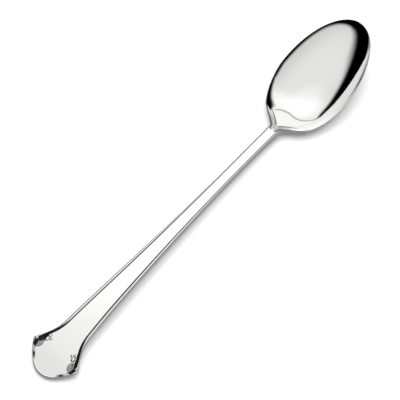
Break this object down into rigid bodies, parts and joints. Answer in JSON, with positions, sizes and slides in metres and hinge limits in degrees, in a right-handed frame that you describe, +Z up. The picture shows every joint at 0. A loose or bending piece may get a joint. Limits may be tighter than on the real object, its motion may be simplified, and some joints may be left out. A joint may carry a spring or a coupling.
{
  "type": "infant feeding spoon",
  "caption": "Polished silver infant feeding spoon: a small oval bowl hard-soldered to a long slender handle with a threaded edge and a scrolled, round-ended tip.",
  "frame": {"origin": "under the middle of the spoon, on the table that it lies on", "axes": "+X along the spoon towards the bowl's tip, +Y across it, +Z up, out of the bowl's hollow"},
  "size_m": [0.14, 0.0236, 0.0149],
  "materials": {
    "polished_silver": "mirror-polished silver",
    "silver_solder": "hard solder, polished flush"
  },
  "bodies": {
    "root": {"bowl": "polished_silver", "handle": "polished_silver", "solder_seam": "silver_solder"}
  },
  "joints": []
}
